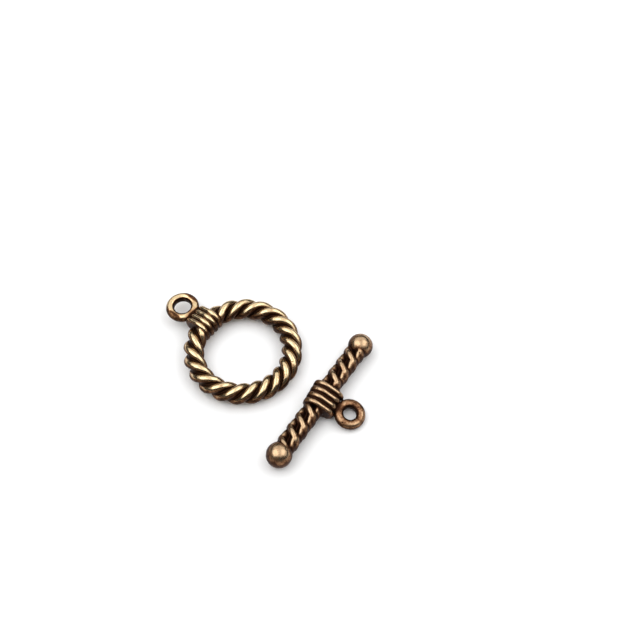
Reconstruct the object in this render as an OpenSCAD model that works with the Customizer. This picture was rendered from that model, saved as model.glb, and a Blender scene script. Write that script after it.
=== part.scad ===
// Toggle clasp: a rope ring and the twisted bar that passes through it, lying apart on a table.
// Each half is one casting. +X runs from the ring's eyelet to the bar's eyelet, and z = 0 is the table.

/* [Rope ring] */
// Outside diameter of the rope ring
ring_d = 15.2; // [13.5:0.1:18]
// Thickness of the ring's rope
ring_rope_d = 2.7; // [2.4:0.02:2.9]
// Thickness of one strand of the ring's rope
ring_strand_d = 1.04; // [0.96:0.02:1.24]
// Number of strands in the ring's rope
ring_strands = 3; // [2:1:4]
// Length of rope in which a strand of the ring goes round once
ring_lay = 5.88; // [5:0.02:7]
// Thickness of the metal that fills the middle of the ring's rope
ring_core_d = 1.5; // [1.3:0.05:1.8]
// Where the first strand of the ring starts, in degrees round the rope
ring_strand_turn = 18; // [0:1:120]
// How far the twist lags a quarter of the way round the ring, in degrees round the rope
ring_twist_lag = 24; // [0:1:40]
// How far the twist swings twice over on its way round the ring, in degrees round the rope
ring_twist_swing = 10; // [0:1:20]

/* [Toggle bar] */
// Length of the bar over both balls
bar_l = 21.28; // [18:0.02:25]
// Diameter of each ball
ball_d = 3.18; // [2.9:0.02:3.5]
// Thickness of the bar's rope
bar_rope_d = 2.5; // [2.4:0.02:2.7]
// Thickness of one strand of the bar's rope
bar_strand_d = 0.84; // [0.7:0.02:1]
// Number of strands in the bar's rope
bar_strands = 2; // [2:1:3]
// Length of rope in which a strand of the bar goes round once
bar_lay = 3.64; // [3.2:0.02:5]
// Thickness of the metal at the bottom of the hollows above and below the bar's rope
bar_core_d = 0.7; // [0.6:0.05:1.3]
// How far the metal that fills the bar's rope at its sides lies under the strands
bar_fill_sunk = 0.01; // [0.01:0.01:0.3]
// How far round the rope a hollow's floor reaches from its middle, in degrees
bar_hollow_flat = 14; // [10:1:30]
// How far round the rope a hollow reaches from its middle, in degrees
bar_hollow_turn = 54; // [40:1:70]
// How far the hollows' middle leans from the top, away from the eyelet, in degrees
bar_hollow_lean = 26; // [0:1:30]
// How far the hollows' ends swing round with the strands, in degrees
bar_hollow_swing = 10; // [0:1:15]
// Where the first strand of the bar starts, in degrees round the rope
bar_strand_turn = 167; // [0:1:180]

/* [Wraps] */
// Number of wraps round each rope
wraps = 4; // [3:1:5]
// Distance from one wrap of the ring to the next
ring_wrap_pitch = 0.78; // [0.6:0.02:0.9]
// Distance from one wrap of the bar to the next
bar_wrap_pitch = 0.9; // [0.7:0.02:1]
// Depth of the groove between two wraps of the ring
ring_wrap_groove = 0.24; // [0.1:0.01:0.26]
// Depth of the groove between two wraps of the bar
bar_wrap_groove = 0.3; // [0.1:0.01:0.31]
// Width of the flat bottom of the groove between two wraps of the ring
ring_wrap_land = 0.12; // [0.05:0.01:0.2]
// Width of the flat bottom of the groove between two wraps of the bar
bar_wrap_land = 0.24; // [0.05:0.01:0.3]
// How far the grooves between the bar's wraps are filled up at the back, as a part of their depth
bar_wrap_fill = 0.85; // [0:0.05:0.9]
// Height of the ring's wraps over its rope
ring_wrap_cover = 0.27; // [0.26:0.01:0.4]
// Height of the bar's wraps over its rope
bar_wrap_cover = 0.32; // [0.31:0.01:0.35]
// How far the bar's wraps stand out on the side away from the eyelet
bar_wrap_back = 0.5; // [0.3:0.05:0.8]
// How far the ring's wraps reach past the rope towards the eyelet
ring_stem_out = 1; // [0.7:0.01:1.4]
// How far the bar's wraps reach past the rope towards the eyelet
bar_stem_out = 1.13; // [0.9:0.01:1.5]
// Height of the wraps where they end at the eyelet
stem_h = 2.5; // [2:0.05:2.7]
// Turn of the bar's wraps and eyelet out of square with the bar
bar_stem_turn = 6; // [0:0.1:10]

/* [Eyelets] */
// Diameter of the hole in the ring's eyelet
ring_hole_d = 2.2; // [1.6:0.02:2.6]
// Diameter of the hole in the bar's eyelet
bar_hole_d = 1.66; // [1.4:0.02:2.4]
// Thickness of the ring's eyelet
ring_eyelet_t = 1.15; // [0.9:0.01:1.3]
// Thickness of the bar's eyelet
bar_eyelet_t = 1.22; // [0.9:0.01:1.3]
// How far each hole is cut into the round of its eyelet
hole_bite = 0.08; // [0.04:0.01:0.12]
// How deep each eyelet is sunk into the wraps
eyelet_sunk = 0.35; // [0.25:0.01:0.4]

/* [Lying apart] */
// Gap on the table between the ring and the bar's wraps
rest_gap = 2.8; // [1.5:0.02:8]
// How far the middle of the bar lies past the middle of the ring, along the bar
rest_shift = 0.66; // [-1.5:0.02:1.5]
// Turn of the bar on the table
bar_turn = 4.4; // [-8:0.1:8]

/* [Hidden] */

// Points from a strand's crest to its side, sections in one turn of a strand, angle between the
// points across an open valley, points of a wrap's back
strand_steps = 4;
lay_steps = 15;
valley_step = 12;
wrap_back_steps = 2;
arc_steps = 9;
// Furthest angle round a strand that its outline follows before it drops to the core
strand_reach = 110;
halvings = 16;
round_fn = 96;

ring_r = (ring_d - ring_rope_d) / 2;
bar_half = (bar_l - ball_d) / 2;

// An eyelet's centre line, from the hole and the thickness
function eyelet_r(hole_d, t) = hole_d / 2 + t / 2 - hole_bite;
ring_eyelet_r = eyelet_r(ring_hole_d, ring_eyelet_t);
bar_eyelet_r = eyelet_r(bar_hole_d, bar_eyelet_t);
ring_stem = ring_rope_d / 2 + ring_stem_out;
bar_stem = bar_rope_d / 2 + bar_stem_out;
ring_eyelet_x = ring_r + ring_stem - eyelet_sunk + ring_eyelet_r + ring_eyelet_t / 2;
bar_eyelet_x = bar_stem - eyelet_sunk + bar_eyelet_r + bar_eyelet_t / 2;

// The ring rests on its wraps and on the rope across from them
ring_wrap_r = ring_rope_d / 2 + ring_wrap_cover;
bar_wrap_r = bar_rope_d / 2 + bar_wrap_cover;
ring_tilt = asin(ring_wrap_cover / (2 * ring_r));
ring_z = ring_rope_d / 2 + ring_r * sin(ring_tilt);
// The bar rests on both balls and on the rim of its eyelet
bar_roll = asin((ball_d - bar_eyelet_t) / 2 / (bar_eyelet_x * cos(bar_stem_turn) + bar_eyelet_r));

// Reach of each half along X from its own middle, so that the whole lies evenly about the origin
ring_reach = (ring_eyelet_x + ring_eyelet_r) * cos(ring_tilt) + ring_eyelet_t / 2;
bar_lean = [cos(bar_roll) * cos(bar_turn), -sin(bar_turn)];
bar_reach = bar_eyelet_x * (bar_lean * [cos(bar_stem_turn), sin(bar_stem_turn)])
          + bar_eyelet_r * norm(bar_lean) + bar_eyelet_t / 2;
apart = ring_d / 2 + rest_gap + bar_rope_d / 2 + bar_wrap_back;
ring_x = (ring_reach - apart - bar_reach) / 2;
bar_x = ring_x + apart;

// Angle round the rope of the point at angle a on a strand's own circle. The strand crosses the section
// at a slant, so the point is carried on by the part of the lay that the slant covers.
function strand_angle(a, h, r, lean, rise) =
    atan2(r * cos(lean) * sin(a), h + r * cos(a)) + r * sin(lean) * sin(a) / rise * 180 / PI;
function strand_dist(a, h, r, lean) = norm([h + r * cos(a), r * cos(lean) * sin(a)]);

// Angle on the strand's circle at which it meets the next strand, by halving
function meet(lo, hi, limit, h, r, lean, rise, n = halvings) = let (mid = (lo + hi) / 2)
    n == 0 ? mid :
    strand_angle(mid, h, r, lean, rise) > limit ? meet(lo, mid, limit, h, r, lean, rise, n - 1)
                                                : meet(mid, hi, limit, h, r, lean, rise, n - 1);

// Outline of a rope cut square across, as [angle, distance] round its middle
function rope_outline(rope_d, strand_d, strands, lay, core_d) = let (
    r = strand_d / 2,
    h = rope_d / 2 - r,
    rise = lay / (2 * PI),
    lean = atan(h / rise),
    half = 180 / strands,
    open = strand_angle(strand_reach, h, r, lean, rise) < half,
    last = open ? strand_reach : meet(0, strand_reach, half, h, r, lean, rise),
    side = strand_angle(last, h, r, lean, rise),
    valley = open ? core_d / 2 : max(core_d / 2, strand_dist(last, h, r, lean)),
    steps = open ? strand_steps : strand_steps + 1,
    deep = max(1, round((half - side) / valley_step)))
    [for (s = [0:strands - 1]) each concat(
        [for (i = [-strand_steps:strand_steps]) let (a = last * i / steps)
            [2 * half * s + strand_angle(a, h, r, lean, rise),
             max(core_d / 2, strand_dist(a, h, r, lean))]],
        [for (i = [1:2 * deep - 1]) [2 * half * s + side + (half - side) * i / deep, valley]])];

// Closed skin through rows of points, each end closed by a fan round its middle point
module skin(rows, first_mid, last_mid) {
    n = len(rows);
    k = len(rows[0]);
    polyhedron(
        points = concat([for (row = rows) each row], [first_mid, last_mid]),
        faces = [
            for (i = [0:n - 2], j = [0:k - 1]) let (a = i * k + j, b = i * k + (j + 1) % k)
                each [[a, b, a + k], [b, b + k, a + k]],
            for (j = [0:k - 1]) let (b = (j + 1) % k)
                each [[n * k, b, j], [n * k + 1, (n - 1) * k + j, (n - 1) * k + b]]]);
}

// Rope bent round a circle in the XY plane, from one angle to the other, with an uneven left-hand twist
module ring_rope(from, to) {
    outline = rope_outline(ring_rope_d, ring_strand_d, ring_strands, ring_lay, ring_core_d);
    arc = ring_r * PI / 180;
    n = ceil((to - from) * arc / ring_lay * lay_steps);
    function at(f, x, z) = [(ring_r + x) * cos(f), (ring_r + x) * sin(f), z];
    function twist(f) = ring_strand_turn + 360 * f * arc / ring_lay
                      - ring_twist_lag * sin(f) + ring_twist_swing * sin(2 * f);
    skin([for (i = [0:n]) let (f = from + (to - from) * i / n, turn = twist(f))
             [for (p = outline) at(f, p[1] * cos(p[0] + turn), p[1] * sin(p[0] + turn))]],
         at(from, 0, 0), at(to, 0, 0));
}

// Straight rope along Y between the two balls, twisted the same way. Its sides are filled up, and a hollow
// is left between the strands above and below.
module bar_rope() {
    outline = rope_outline(bar_rope_d, bar_strand_d, bar_strands, bar_lay, bar_core_d);
    n = ceil(2 * bar_half / bar_lay * lay_steps);
    fill_d = bar_rope_d - 2 * bar_fill_sunk;
    function from_top(a) = abs(abs(a) % 180 - 90);
    function wall(a) = (from_top(a) - bar_hollow_flat) / (bar_hollow_turn - bar_hollow_flat);
    function fill(a) = let (rise = sin(90 * max(0, min(1, wall(a)))))
        (bar_core_d + (fill_d - bar_core_d) * rise * rise) / 2;
    function leaned(p, turn) = p + turn - bar_hollow_lean - bar_hollow_swing * sin(bar_strands * p);
    function at(a, out, y) = [out * cos(a), y, out * sin(a)];
    skin([for (i = [0:n]) let (y = bar_half * (2 * i / n - 1), turn = bar_strand_turn + 360 * y / bar_lay)
             [for (p = outline) at(p[0] + turn, max(p[1], fill(leaned(p[0], turn))), y)]],
         [0, -bar_half, 0], [0, bar_half, 0]);
}

// Outline of the wraps from the side: a round about the rope and a round at the eyelet, joined by their
// common tangents, each point with its outward direction
function wrap_outline(r1, x1, r2, x2) = let (flat = acos((r1 - r2) / (x2 - x1))) concat(
    [for (i = [0:arc_steps]) let (a = flat * (2 * i / arc_steps - 1)) [x2 + r2 * cos(a), r2 * sin(a), a]],
    [for (i = [0:arc_steps + 2]) let (a = flat + (360 - 2 * flat) * i / (arc_steps + 2))
        [x1 + r1 * cos(a), r1 * sin(a), a]]);

// Collar of round-backed wraps side by side along Y, from x1 - r1 to the end of the stem. Its grooves may be
// filled up at the back, across from the eyelet.
module wrap_collar(r1, x1, stem, pitch, groove, land, fill) {
    outline = wrap_outline(r1, x1, stem_h / 2, stem - stem_h / 2);
    half = (pitch - land) / 2;
    back_r = (half * half + groove * groove) / (2 * groove);
    rows = [for (w = [0:wraps - 1], i = [-wrap_back_steps:wrap_back_steps])
        let (s = half * i / wrap_back_steps)
            [(w - (wraps - 1) / 2) * pitch + s, back_r - sqrt(back_r * back_r - s * s)]];
    end = rows[len(rows) - 1][0];
    function depth(a) = let (back = max(0, -cos(a))) 1 - fill * back * back;
    skin([for (row = rows) [for (p = outline) let (drawn = row[1] * depth(p[2]))
             [p[0] - drawn * cos(p[2]), row[0], p[1] - drawn * sin(p[2])]]],
         [0, -end, 0], [0, end, 0]);
}

// Round-sectioned eyelet in the XY plane with its hole cut true
module eyelet(r, t, hole_d) {
    difference() {
        rotate_extrude($fn = round_fn) translate([r, 0]) circle(d = t, $fn = round_fn);
        cylinder(d = hole_d, h = 2 * t, center = true, $fn = round_fn);
    }
}

module ring_half() {
    hidden = asin((wraps * ring_wrap_pitch / 4) / ring_r);
    color("peru") translate([ring_x, -rest_shift, ring_z]) rotate([0, -ring_tilt, 180]) {
        ring_rope(hidden, 360 - hidden);
        translate([ring_r, 0, 0]) wrap_collar(ring_wrap_r, 0, ring_stem, ring_wrap_pitch,
                                               ring_wrap_groove, ring_wrap_land, 0);
        translate([ring_eyelet_x, 0, 0]) eyelet(ring_eyelet_r, ring_eyelet_t, ring_hole_d);
    }
}

module toggle_bar() {
    color("sienna") translate([bar_x, 0, ball_d / 2]) rotate([0, bar_roll, bar_turn]) {
        bar_rope();
        for (side = [-1, 1]) translate([0, side * bar_half, 0]) sphere(d = ball_d, $fn = round_fn);
        rotate(bar_stem_turn) {
            wrap_collar(bar_wrap_r, bar_wrap_cover - bar_wrap_back, bar_stem, bar_wrap_pitch,
                        bar_wrap_groove, bar_wrap_land, bar_wrap_fill);
            translate([bar_eyelet_x, 0, 0]) eyelet(bar_eyelet_r, bar_eyelet_t, bar_hole_d);
        }
    }
}

ring_half();
toggle_bar();
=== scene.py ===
# Toggle clasp in antiqued copper: a rope ring, and the twisted bar that passes through it and holds
from math import acos, asin, atan, cos, hypot, pi, radians, sin

import bmesh
import bpy
import numpy as np
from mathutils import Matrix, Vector


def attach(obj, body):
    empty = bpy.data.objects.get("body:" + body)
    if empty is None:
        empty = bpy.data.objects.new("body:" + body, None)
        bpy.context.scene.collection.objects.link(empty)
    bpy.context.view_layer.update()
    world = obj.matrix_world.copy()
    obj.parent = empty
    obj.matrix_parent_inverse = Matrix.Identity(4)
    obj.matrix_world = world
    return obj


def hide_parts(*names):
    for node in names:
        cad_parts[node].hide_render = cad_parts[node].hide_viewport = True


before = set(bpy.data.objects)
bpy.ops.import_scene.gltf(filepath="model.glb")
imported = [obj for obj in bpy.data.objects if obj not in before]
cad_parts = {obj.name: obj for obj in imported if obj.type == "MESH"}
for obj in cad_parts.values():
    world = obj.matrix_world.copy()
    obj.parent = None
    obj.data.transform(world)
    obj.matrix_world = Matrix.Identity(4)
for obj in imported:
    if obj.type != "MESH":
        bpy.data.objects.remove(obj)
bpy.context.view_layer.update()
print("CAD frame loaded:", ", ".join(sorted(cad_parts)))

scene = bpy.context.scene
mm = 0.001

# Sizes are in millimetres and degrees, and each casting is worked out about its own middle:
# u runs towards the eyelet, w up through the eyelet's hole, and v along the wraps
ropeRing = {
    "ringD": 15.2, "ropeD": 2.7, "strandD": 1.04, "strands": 3, "lay": 5.88, "coreD": 1.5,
    "strandTurn": 18, "twistLag": 24, "twistSwing": 10,
    "wrapPitch": 0.78, "wrapCover": 0.27, "wrapGroove": 0.24, "wrapLand": 0.12, "wrapFill": 0, "stemOut": 1,
    "holeD": 2.2, "eyeletT": 1.15, "skin": 0.083, "seed": 11,
}
twistBar = {
    "length": 21.27, "ballD": 3.18, "ropeD": 2.5, "strandD": 0.84, "strands": 2, "lay": 3.64,
    "strandTurn": 167, "coreD": 0.7, "fillSunk": 0.01,
    "hollowFlat": 14, "hollowTurn": 54, "hollowLean": 26, "hollowSwing": 10,
    "grooveTurn": 62, "grooveWide": 16, "grooveDeep": 0.1, "blend": 0.18,
    "wrapPitch": 0.9, "wrapCover": 0.32, "wrapGroove": 0.3, "wrapLand": 0.24, "wrapFill": 0.85,
    "wrapBack": 0.5, "stemOut": 1.13, "stemTurn": 6, "holeD": 1.66, "eyeletT": 1.22,
    "skin": 0.065, "seed": 23,
}
shared = {"wraps": 4, "stemH": 2.5, "holeBite": 0.08, "eyeletSunk": 0.35}  # the same on both castings
lying = {"gap": 2.8, "shift": 0.66, "turn": 4.4}  # how the two lie beside each other


# A grid of points, rows by columns, as a mesh: the columns always close into a loop, the rows if asked,
# and open ends are closed by one face each
def gridMesh(points, closeRows=False):
    rows, cols = points.shape[:2]
    i = np.arange(rows if closeRows else rows - 1)[:, None]
    j = np.arange(cols)[None]
    nextRow, nextCol = (i + 1) % rows, (j + 1) % cols
    faces = np.stack([i * cols + j, i * cols + nextCol, nextRow * cols + nextCol, nextRow * cols + j], -1)
    faces = faces.reshape(-1, 4).tolist()
    if not closeRows:
        faces += [list(range(cols))[::-1], list(range((rows - 1) * cols, rows * cols))]
    return points.reshape(-1, 3), faces


# A round wire: a circle of the wire's radius carried along a path, square to it
def wire(path, radius, sides=24):
    along = np.gradient(path, axis=0)
    along /= np.linalg.norm(along, axis=1)[:, None]
    across = np.cross(along, [0, 0, 1])
    across /= np.linalg.norm(across, axis=1)[:, None]
    up = np.cross(across, along)
    a = np.linspace(0, -2 * pi, sides, endpoint=False)[None, :, None]
    return gridMesh(path[:, None] + radius * (np.cos(a) * across[:, None] + np.sin(a) * up[:, None]))


# A ball, from pole to pole by turns round it
def ball(centre, radius, rings=60, sides=80):
    t = np.linspace(pi, 0, rings + 2)[1:-1, None]
    f = np.linspace(0, 2 * pi, sides, endpoint=False)[None]
    unit = np.stack([np.sin(t) * np.cos(f), np.sin(t) * np.sin(f), np.cos(t) + 0 * f], -1)
    return gridMesh(centre + radius * unit)


# An eyelet: a circle of the eyelet's thickness carried round its centre line, cut off at the hole's radius
def eyelet(centre, u, v, w, r, t, hole, turns=160, sides=48):
    f = np.linspace(0, 2 * pi, turns, endpoint=False)[:, None, None]
    a = np.linspace(0, 2 * pi, sides, endpoint=False)[None, :, None]
    out = np.maximum(r + t / 2 * np.cos(a), hole / 2)
    return gridMesh(centre + out * (np.cos(f) * u + np.sin(f) * v) + t / 2 * np.sin(a) * w, closeRows=True)


# The wraps: the outline of two circles and their common tangents carried along v,
# drawn in at each groove by the depth of a round-backed wire, less where the back is filled up
def wrapCollar(centre, u, v, w, r1, x1, stem, size, across=24, noseSteps=56, heelSteps=64):
    r2 = shared["stemH"] / 2
    x2 = stem - r2
    flat = acos((r1 - r2) / (x2 - x1))
    nose, heel = np.linspace(-flat, flat, noseSteps), np.linspace(flat, 2 * pi - flat, heelSteps)
    a = np.concatenate([nose, heel])
    x = np.concatenate([x2 + r2 * np.cos(nose), x1 + r1 * np.cos(heel)])
    z = np.concatenate([r2 * np.sin(nose), r1 * np.sin(heel)])
    half = (size["wrapPitch"] - size["wrapLand"]) / 2
    backR = (half ** 2 + size["wrapGroove"] ** 2) / (2 * size["wrapGroove"])
    s = np.linspace(-half, half, across)
    middles = (np.arange(shared["wraps"]) - (shared["wraps"] - 1) / 2) * size["wrapPitch"]
    along = (middles[:, None] + s).ravel()[:, None]
    drawnIn = np.tile(backR - np.sqrt(backR ** 2 - s ** 2), shared["wraps"])[:, None]
    drawnIn = drawnIn * (1 - size["wrapFill"] * np.maximum(-np.cos(a), 0) ** 2)
    points = (centre + (x - drawnIn * np.cos(a))[..., None] * u + along[..., None] * v
              + (z - drawnIn * np.sin(a))[..., None] * w)
    return gridMesh(points)


# Radius of an eyelet's centre line: the hole's radius and half the thickness, less what the hole bites off
def eyeletRadius(size):
    return size["holeD"] / 2 + size["eyeletT"] / 2 - shared["holeBite"]


# How far an eyelet's middle stands out from the rope's centre line
def eyeletOut(size):
    stem = size["ropeD"] / 2 + size["stemOut"]
    return stem - shared["eyeletSunk"] + eyeletRadius(size) + size["eyeletT"] / 2


# Where both castings lie, by the same sums as the CAD
ringR = (ropeRing["ringD"] - ropeRing["ropeD"]) / 2
barHalf = (twistBar["length"] - twistBar["ballD"]) / 2
ringEyeletX, barEyeletX = ringR + eyeletOut(ropeRing), eyeletOut(twistBar)
tilt = asin(ropeRing["wrapCover"] / (2 * ringR))
stemTurn, barTurn = radians(twistBar["stemTurn"]), radians(lying["turn"])
rollReach = barEyeletX * cos(stemTurn) + eyeletRadius(twistBar)
roll = asin((twistBar["ballD"] - twistBar["eyeletT"]) / 2 / rollReach)
ringReach = (ringEyeletX + eyeletRadius(ropeRing)) * cos(tilt) + ropeRing["eyeletT"] / 2
lean = (cos(roll) * cos(barTurn), -sin(barTurn))
barReach = (barEyeletX * (lean[0] * cos(stemTurn) + lean[1] * sin(stemTurn))
            + eyeletRadius(twistBar) * hypot(*lean) + twistBar["eyeletT"] / 2)
apart = ropeRing["ringD"] / 2 + lying["gap"] + twistBar["ropeD"] / 2 + twistBar["wrapBack"]
ringX = (ringReach - apart - barReach) / 2

ringMiddle = np.array([ringX, -lying["shift"], ropeRing["ropeD"] / 2 + ringR * sin(tilt)])
ringU, ringV, ringW = np.array([[-cos(tilt), 0, sin(tilt)], [0, -1, 0], [sin(tilt), 0, cos(tilt)]])
barMiddle = np.array([ringX + apart, 0, twistBar["ballD"] / 2])
barU = np.array([cos(roll) * cos(barTurn), cos(roll) * sin(barTurn), -sin(roll)])
barV = np.array([-sin(barTurn), cos(barTurn), 0])
barW = np.cross(barU, barV)


# The ring: three strands and a core carried round a circle, with an uneven left-hand twist, wraps and eyelet
def ringParts(sections=900):
    size = ropeRing
    strandR = size["strandD"] / 2
    helixR = size["ropeD"] / 2 - strandR
    hidden = asin(shared["wraps"] * size["wrapPitch"] / 4 / ringR)
    f = np.linspace(hidden, 2 * pi - hidden, sections)
    out = np.cos(f)[:, None] * ringU + np.sin(f)[:, None] * ringV
    twist = (f * ringR / size["lay"] * 2 * pi + radians(size["strandTurn"])
             - radians(size["twistLag"]) * np.sin(f) + radians(size["twistSwing"]) * np.sin(2 * f))
    parts = [wire(ringMiddle + ringR * out, size["coreD"] / 2)]
    for strand in range(size["strands"]):
        a = (twist + 2 * pi * strand / size["strands"])[:, None]
        path = ringMiddle + (ringR + helixR * np.cos(a)) * out + helixR * np.sin(a) * ringW
        parts.append(wire(path, strandR))
    ropeR = size["ropeD"] / 2
    parts.append(wrapCollar(ringMiddle + ringR * ringU, ringU, ringV, ringW, ropeR + size["wrapCover"], 0,
                            ropeR + size["stemOut"], size))
    parts.append(eyelet(ringMiddle + ringEyeletX * ringU, ringU, ringV, ringW, eyeletRadius(size),
                        size["eyeletT"], size["holeD"]))
    return parts


# The outline of twisted strands cut square across, as a distance for each angle round the rope. A strand
# crosses the cut at a slant, so each point of its circle is carried round by the part of the lay it covers.
# The part of the circle that faces the rope's middle is hidden in the core and left out
def strandOutline(angle, size, seen=2.4, steps=400):
    strandR = size["strandD"] / 2
    helixR = size["ropeD"] / 2 - strandR
    rise = size["lay"] / (2 * pi)
    slant = atan(helixR / rise)
    t = np.linspace(-seen, seen, steps)
    across, along = strandR * cos(slant) * np.sin(t), strandR * sin(slant) * np.sin(t)
    reach = helixR + strandR * np.cos(t)
    turned, out = np.arctan2(across, reach) + along / rise, np.hypot(across, reach)
    order = np.argsort(turned)
    half = pi / size["strands"]
    return np.interp((angle + half) % (2 * half) - half, turned[order], out[order], left=0, right=0)


# The bar's rope: thin strands on a core whose sides are filled up, which leaves leaning hollows between the
# strands above and below. A fine groove parts the fill from the next strand, and the outlines are joined by
# a rounded maximum
def barRope(size, sections=900, around=192):
    s = np.linspace(-barHalf, barHalf, sections)[:, None]
    a = np.linspace(0, -2 * pi, around, endpoint=False)[None]
    turned = a - 2 * pi * s / size["lay"] - radians(size["strandTurn"])
    leaned = a - radians(size["hollowLean"]) - radians(size["hollowSwing"]) * np.sin(size["strands"] * turned)
    fromTop = np.abs(leaned % pi - pi / 2)
    flat, edge = radians(size["hollowFlat"]), radians(size["hollowTurn"])
    wall = np.clip((fromTop - flat) / (edge - flat), 0, 1)
    half = pi / size["strands"]
    beside = (turned * np.sign(np.cos(leaned)) + radians(size["grooveTurn"]) + half) % (2 * half) - half
    groove = 1 - size["grooveDeep"] * np.exp(-(beside / radians(size["grooveWide"])) ** 2)
    fillD = size["ropeD"] - 2 * size["fillSunk"]
    filled = (size["coreD"] + (fillD - size["coreD"]) * np.sin(pi / 2 * wall) ** 2 * groove) / 2
    twisted = strandOutline(turned, size)
    out = (twisted + filled + np.sqrt((twisted - filled) ** 2 + size["blend"] ** 2)) / 2
    return gridMesh(barMiddle + s[..., None] * barV
                    + out[..., None] * (np.cos(a)[..., None] * barU + np.sin(a)[..., None] * barW))


# The bar: its rope and a ball at each end, with wraps and eyelet turned a little
def barParts():
    size = twistBar
    parts = [barRope(size)]
    parts += [ball(barMiddle + side * barHalf * barV, size["ballD"] / 2) for side in (-1, 1)]
    u = cos(stemTurn) * barU + sin(stemTurn) * barV
    v = cos(stemTurn) * barV - sin(stemTurn) * barU
    ropeR = size["ropeD"] / 2
    parts.append(wrapCollar(barMiddle, u, v, barW, ropeR + size["wrapCover"],
                            size["wrapCover"] - size["wrapBack"], ropeR + size["stemOut"], size))
    parts.append(eyelet(barMiddle + barEyeletX * u, u, v, barW, eyeletRadius(size),
                        size["eyeletT"], size["holeD"]))
    return parts


# Keeps the largest of a mesh's separate shells, as fusing can leave a speck shut inside the metal. Each point
# takes the lowest number among its neighbours until the whole shell has the same one
def keepLargestShell(mesh):
    edges = np.empty(len(mesh.edges) * 2, int)
    mesh.edges.foreach_get("vertices", edges)
    a, b = edges.reshape(-1, 2).T
    shell, before = np.arange(len(mesh.vertices)), None
    while not np.array_equal(shell, before):
        before = shell.copy()
        lowest = np.minimum(shell[a], shell[b])
        np.minimum.at(shell, a, lowest)
        np.minimum.at(shell, b, lowest)
        shell = shell[shell]
    stray = np.flatnonzero(shell != np.bincount(shell).argmax())
    working = bmesh.new()
    working.from_mesh(mesh)
    working.verts.ensure_lookup_table()
    bmesh.ops.delete(working, geom=[working.verts[i] for i in stray], context="VERTS")
    working.to_mesh(mesh)
    working.free()
    print(mesh.name, "kept", len(mesh.vertices), "points and dropped", len(stray))


# One closed skin over overlapping parts, as the metal of one casting
def fuse(parts, name, size):
    points, faces, count = [], [], 0
    for partPoints, partFaces in parts:
        points.append(partPoints)
        faces += [[i + count for i in face] for face in partFaces]
        count += len(partPoints)
    rough = bpy.data.meshes.new(name)
    rough.from_pydata(np.concatenate(points).tolist(), [], faces)
    piece = bpy.data.objects.new(name, rough)
    scene.collection.objects.link(piece)
    remesh = piece.modifiers.new("oneSkin", "REMESH")
    remesh.mode, remesh.voxel_size, remesh.use_smooth_shade = "VOXEL", size["skin"], True
    fused = bpy.data.meshes.new_from_object(piece.evaluated_get(bpy.context.evaluated_depsgraph_get()))
    keepLargestShell(fused)
    piece.modifiers.clear()
    piece.data = fused
    return piece


# A mesh's points, its edges, and a function that gives each point the average of its neighbours
def meshArrays(mesh):
    count = len(mesh.vertices)
    points = np.empty(count * 3)
    mesh.vertices.foreach_get("co", points)
    edges = np.empty(len(mesh.edges) * 2, int)
    mesh.edges.foreach_get("vertices", edges)
    a, b = edges.reshape(-1, 2).T
    neighbours = np.bincount(np.concatenate([a, b]), minlength=count)

    def average(values):
        total = [np.bincount(a, column[b], count) + np.bincount(b, column[a], count) for column in values.T]
        return np.stack(total, 1) / neighbours[:, None]

    return points.reshape(-1, 3), average


# Each point's normal, as rows of one array
def normalsOf(mesh):
    normals = np.empty(len(mesh.vertices) * 3)
    mesh.vertices.foreach_get("normal", normals)
    return normals.reshape(-1, 3)


# Soft unevenness of a casting: waves of about one length in many directions, added up, about 1 high
def waves(points, length, seed, count=24, shortest=0.7, longest=1.3):
    rng = np.random.default_rng(seed)
    directions = rng.normal(size=(count, 3))
    lengths = np.linalg.norm(directions, axis=1)
    directions *= (2 * pi / length * rng.uniform(shortest, longest, count) / lengths)[:, None]
    total = np.zeros(len(points))
    for direction, start in zip(directions, rng.uniform(0, 2 * pi, count)):
        total += np.sin(points @ direction + start)
    return total / np.sqrt(count / 2)


# Small round dents, each a shallow bowl pressed in where it meets the skin
def pits(points, count, seed, smallest, largest, deep, shallowest=0.4, rounded=1.5):
    rng = np.random.default_rng(seed)
    total = np.zeros(len(points))
    for middle in points[rng.integers(0, len(points), count)]:
        radius = rng.uniform(smallest, largest)
        near = np.sum((points - middle) ** 2, axis=1) / radius ** 2
        bowl = np.clip(1 - near, 0, 1) ** rounded
        total = np.maximum(total, deep * rng.uniform(shallowest, 1) * bowl)
    return total


finish = {
    "uneven": 0.006, "unevenLength": 1.1, "pitCount": 90, "pitSmall": 0.07, "pitLarge": 0.16, "pitDeep": 0.05,
    "relax": 0.0085, "relaxShare": 0.5, "fine": 0.034, "open": 0.254,
}
# The most that openness counts, how much more or less than that a place has been rubbed, and over what
# distance it fades out
rubbing = {
    "most": 0.1, "hole": -0.2, "holeSoft": 0.24, "ringEyelet": -0.08, "barEyelet": -0.035,
    "balls": 0.03, "ballReach": 0.45, "ballFade": 0.3,
    "ringWraps": 0.06, "barWraps": 0.02, "fade": 0.2, "inwards": 3, "inwardsSlope": 4,
}


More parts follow.
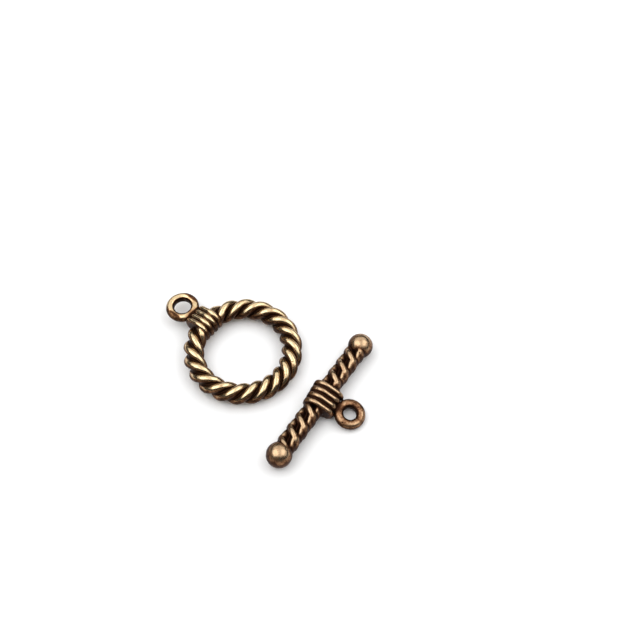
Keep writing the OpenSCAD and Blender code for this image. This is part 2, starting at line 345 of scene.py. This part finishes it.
# Smooths the skin, gives it its casting marks, and measures how open each point lies: a point that stands out
# from its neighbourhood gets rubbed bright, and one in a hollow stays dark. A finer skin takes more passes of
# averaging, so that a neighbourhood is as wide on both castings
def dress(piece, up, size, lift):
    mesh = piece.data
    passes = [max(1, round(finish[name] / size["skin"] ** 2)) for name in ("relax", "fine", "open")]
    relax, near, wide = passes
    points, average = meshArrays(mesh)
    for _ in range(relax):
        points += finish["relaxShare"] * (average(points) - points)
    mesh.vertices.foreach_set("co", points.ravel())
    mesh.update()
    normals = normalsOf(mesh)
    marks = finish["uneven"] * waves(points, finish["unevenLength"], size["seed"])
    marks -= pits(points, finish["pitCount"], size["seed"] + 1, finish["pitSmall"], finish["pitLarge"],
                  finish["pitDeep"])
    points += np.minimum(marks, 0)[:, None] * normals
    around = points.copy()
    stands = {}
    for step in range(1, wide + 1):
        around = average(around)
        if step in (near, wide):
            stands[step] = np.sum((points - around) * normals, axis=1)
    measured = {
        "fine": stands[near],
        "open": np.minimum(stands[wide], rubbing["most"]) + lift(points),
        # How level each point lies; the copper darkens upright flanks by it, partly as less wear and partly
        # as painted shade
        "facing": np.abs(normals @ up),
    }
    for name, values in measured.items():
        mesh.attributes.new(name, "FLOAT", "POINT").data.foreach_set("value", values)
    mesh.vertices.foreach_set("co", (points * mm).ravel())
    mesh.update()
    mesh.polygons.foreach_set("use_smooth", np.ones(len(mesh.polygons), bool))
    for name, values in measured.items():
        print(piece.name, len(mesh.polygons), "faces,", name, np.percentile(values, [2, 50, 98]).round(3))


# An eyelet is rubbed as a whole by the given amount, and the wall of its hole stays dark
def eyeletLift(points, centre, up, size, amount):
    reach = points - centre
    fromAxis = np.linalg.norm(reach - (reach @ up)[:, None] * up, axis=1)
    holeR = size["holeD"] / 2
    onWall = np.clip((holeR + rubbing["holeSoft"] - fromAxis) / rubbing["holeSoft"], 0, 1)
    onEyelet = np.clip((holeR + size["eyeletT"] - fromAxis) / rubbing["fade"], 0, 1)
    return rubbing["hole"] * onWall + amount * onEyelet


# 1 on the wraps, down to 0 past their ends
def onWraps(size, fromMiddle):
    return np.clip((shared["wraps"] / 2 * size["wrapPitch"] - fromMiddle) / rubbing["fade"], 0, 1)


# The ring's wraps are only on the side of its eyelet
def ringLift(points):
    reach = points - ringMiddle
    inwards = rubbing["inwardsSlope"] * np.maximum(0, rubbing["inwards"] - reach @ ringU)
    return (rubbing["ringWraps"] * onWraps(ropeRing, np.abs(reach @ ringV) + inwards)
            + eyeletLift(points, ringMiddle + ringEyeletX * ringU, ringW, ropeRing, rubbing["ringEyelet"]))


# The bar's balls and wraps are told apart by their place along it
def barLift(points):
    u = cos(stemTurn) * barU + sin(stemTurn) * barV
    along = np.abs((points - barMiddle) @ barV)
    onBall = np.clip((along - barHalf + rubbing["ballReach"] * twistBar["ballD"]) / rubbing["ballFade"], 0, 1)
    return (rubbing["balls"] * onBall + rubbing["barWraps"] * onWraps(twistBar, along)
            + eyeletLift(points, barMiddle + barEyeletX * u, barW, twistBar, rubbing["barEyelet"]))


ringPiece = fuse(ringParts(), "ropeRing", ropeRing)
dress(ringPiece, ringW, ropeRing, ringLift)
barPiece = fuse(barParts(), "twistBar", twistBar)
dress(barPiece, barW, twistBar, barLift)
print("castings fused and dressed")


# A shader node with its inputs: a value is set and a socket is linked
def addNode(tree, kind, inputs=(), **settings):
    node = tree.nodes.new(kind)
    for name, value in settings.items():
        setattr(node, name, value)
    for key, value in dict(inputs).items():
        if isinstance(value, bpy.types.NodeSocket):
            tree.links.new(value, node.inputs[key])
        else:
            node.inputs[key].default_value = value
    return node


# A colour that runs through the stops as the factor rises
def ramp(tree, factor, stops):
    node = addNode(tree, "ShaderNodeValToRGB", {0: factor})
    stopList = node.color_ramp.elements
    while len(stopList) < len(stops):
        stopList.new(0.5)
    for stop, (position, colour) in zip(stopList, stops):
        stop.position, stop.color = position, (*colour, 1)
    return node.outputs["Color"]


# A value between low and high, carried over by a smooth step to between toLow and toHigh
def spread(tree, value, low, high, toLow=0, toHigh=1):
    return addNode(tree, "ShaderNodeMapRange", {0: value, 1: low, 2: high, 3: toLow, 4: toHigh},
                   interpolation_type="SMOOTHSTEP").outputs[0]


def combine(tree, operation, a, b, clamp=False):
    return addNode(tree, "ShaderNodeMath", {0: a, 1: b}, operation=operation, use_clamp=clamp).outputs[0]


# Cloudy noise with its largest blotches of about the given size
def noise(tree, where, size, detail, rough=0.6):
    return addNode(tree, "ShaderNodeTexNoise", {"Vector": where, "Scale": 1 / (size * mm), "Detail": detail,
                                                "Roughness": rough}).outputs["Fac"]


# Each casting's colours, from the hollows to the brightest metal
ringTone = {
    "recess": (0.0252, 0.0103, 0.0049), "patina": (0.112, 0.05, 0.023),
    "copper": (0.4, 0.211, 0.099), "bright": (0.6014, 0.4563, 0.2677),
}
barTone = {
    "recess": (0.03, 0.0116, 0.0064), "patina": (0.084, 0.0359, 0.0175),
    "copper": (0.26, 0.136, 0.069), "bright": (0.42, 0.292, 0.176),
}
# How open a place has to be to be rubbed, how level it has to be to stay bright, and how smooth the rubbed
# metal is. Upright flanks come out darker, partly as less worn metal and partly as painted shade standing in
# for the shadowed floor they reflect
ringWearAndShade = {"openLow": -0.04, "openHigh": 0.065, "faceLow": 0.45, "faceHigh": 0.8, "polished": 0.15}
barWearAndShade = {"openLow": -0.03, "openHigh": 0.11, "faceLow": 0.2, "faceHigh": 0.95, "polished": 0.24}
# Patches and specks, as size, detail, and what they add to the rubbing at their least and their most;
# then how much of it an upright face keeps, which darkens the flanks partly as less wear and partly as
# painted shade, how a fine crease darkens, where on the scale of rubbing each colour stands and the roughness
# changes, and the grain of the metal
copper = {
    "blotches": ((0.9, 4, -0.22, 0.14), (0.22, 3, -0.18, 0.08)), "blotchLow": 0.3, "blotchHigh": 0.7,
    "upright": 0.25, "creaseDeep": -0.01, "creaseDark": -0.35,
    "stops": {"recess": 0, "patina": 0.3, "copper": 0.55, "bright": 0.85},
    "dull": 0.52, "dullBelow": 0.2, "polishedFrom": 0.9,
    "grain": 0.12, "grainDetail": 4, "grainStrength": 0.25, "grainDeep": 0.03,
}


# Antiqued copper: near-black oxide in the hollows, rubbed through brown to bright metal on what stands out,
# with upright flanks darkened partly as less worn metal and partly as painted shade
def antiqueCopper(name, tone, wearAndShade):
    material = bpy.data.materials.new(name)
    material.use_nodes = True
    tree = material.node_tree
    shader = tree.nodes["Principled BSDF"]
    where = addNode(tree, "ShaderNodeTexCoord").outputs["Object"]
    openness, fine, facing = (addNode(tree, "ShaderNodeAttribute", attribute_name=attribute).outputs["Fac"]
                              for attribute in ("open", "fine", "facing"))
    standing = spread(tree, openness, wearAndShade["openLow"], wearAndShade["openHigh"])
    # Upright flanks keep less of the rubbing: partly less worn metal, partly painted shade for the shadowed
    # floor they reflect
    level = spread(tree, facing, wearAndShade["faceLow"], wearAndShade["faceHigh"], copper["upright"], 1)
    rubbedAndShade = combine(tree, "MULTIPLY", standing, level)
    for blotchSize, detail, least, most in copper["blotches"]:
        blotch = noise(tree, where, blotchSize, detail)
        added = spread(tree, blotch, copper["blotchLow"], copper["blotchHigh"], least, most)
        rubbedAndShade = combine(tree, "ADD", rubbedAndShade, added)
    crease = spread(tree, fine, copper["creaseDeep"], 0, copper["creaseDark"], 0)
    rubbedAndShade = combine(tree, "ADD", rubbedAndShade, crease, clamp=True)
    colour = ramp(tree, rubbedAndShade, [(stop, tone[shade]) for shade, stop in copper["stops"].items()])
    tree.links.new(colour, shader.inputs["Base Color"])
    roughness = spread(tree, rubbedAndShade, copper["dullBelow"], copper["polishedFrom"],
                       copper["dull"], wearAndShade["polished"])
    tree.links.new(roughness, shader.inputs["Roughness"])
    shader.inputs["Metallic"].default_value = 1
    grain = noise(tree, where, copper["grain"], copper["grainDetail"])
    bump = addNode(tree, "ShaderNodeBump", {"Strength": copper["grainStrength"],
                                            "Distance": copper["grainDeep"] * mm, "Height": grain})
    tree.links.new(bump.outputs[0], shader.inputs["Normal"])
    return material


ringPiece.data.materials.append(antiqueCopper("ringCopper", ringTone, ringWearAndShade))
barPiece.data.materials.append(antiqueCopper("barCopper", barTone, barWearAndShade))
for piece, node in ((ringPiece, "ring_half"), (barPiece, "toggle_bar")):
    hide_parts(node)
    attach(piece, "root")
print("copper finished")

# A white paper floor, a lit ceiling, two softboxes high at the left and right, and a dim room
studio = {"floorSide": 600, "floorShade": 0.84, "room": 0.07}
# Each light shines at the middle of the picture: where it stands, to the right, back and up, its side, and
# how bright its face looks
lights = {
    "ceiling": ((0, 60, 290), 700, 1.4),
    "leftBox": ((-204, -40, 342), 380, 1.5),
    "rightBox": ((274, -3, 292), 340, 1.4),
}
# The camera's turn, its tilt, its distance, and the point it looks at, as seen from the ring's middle
camera = {
    "azimuth": 38.0, "down": 57.33, "away": 116.54, "targetFromRing": (4.34, 10.41),
    "lens": 49.49, "sensor": 36, "nearest": 1,
}

azimuth, down = radians(camera["azimuth"]), radians(camera["down"])
toRight = np.array([cos(azimuth), sin(azimuth), 0])
toBack = np.array([-sin(azimuth), cos(azimuth), 0])

floorPiece = bpy.data.objects.new("floor", bpy.data.meshes.new("floor"))
side = studio["floorSide"] / 2 * mm
corners = [(-side, -side, 0), (side, -side, 0), (side, side, 0), (-side, side, 0)]
floorPiece.data.from_pydata(corners, [], [(0, 1, 2, 3)])
scene.collection.objects.link(floorPiece)
floorPaper = bpy.data.materials.new("floorPaper")
floorPaper.use_nodes = True
floorShader = floorPaper.node_tree.nodes["Principled BSDF"]
floorShader.inputs["Base Color"].default_value = (*[studio["floorShade"]] * 3, 1)
floorShader.inputs["Roughness"].default_value = 1
floorPiece.data.materials.append(floorPaper)

target = ringMiddle * [1, 1, 0] + [*camera["targetFromRing"], 0]
for name, ((rightwards, backwards, upwards), boxSide, bright) in lights.items():
    light = bpy.data.lights.new(name, "AREA")
    light.size = boxSide * mm
    light.energy = bright * pi * light.size ** 2
    holder = bpy.data.objects.new(name, light)
    scene.collection.objects.link(holder)
    place = rightwards * toRight + backwards * toBack + np.array([0, 0, upwards])
    holder.location = (target + place) * mm
    holder.rotation_euler = Vector(-place).to_track_quat("-Z", "Y").to_euler()

room = bpy.data.worlds.new("room")
scene.world = room
room.use_nodes = True
room.node_tree.nodes["Background"].inputs["Color"].default_value = (1, 1, 1, 1)
room.node_tree.nodes["Background"].inputs["Strength"].default_value = studio["room"]

lens = bpy.data.cameras.new("camera")
lens.lens, lens.sensor_width, lens.clip_start = camera["lens"], camera["sensor"], camera["nearest"] * mm
cameraHolder = bpy.data.objects.new("camera", lens)
scene.collection.objects.link(cameraHolder)
towards = sin(down) * np.array([0, 0, 1]) - cos(down) * toBack
cameraHolder.location = (target + camera["away"] * towards) * mm
cameraHolder.rotation_euler = (pi / 2 - down, 0, azimuth)
scene.camera = cameraHolder
scene.view_settings.view_transform = "Standard"

print("stage set")
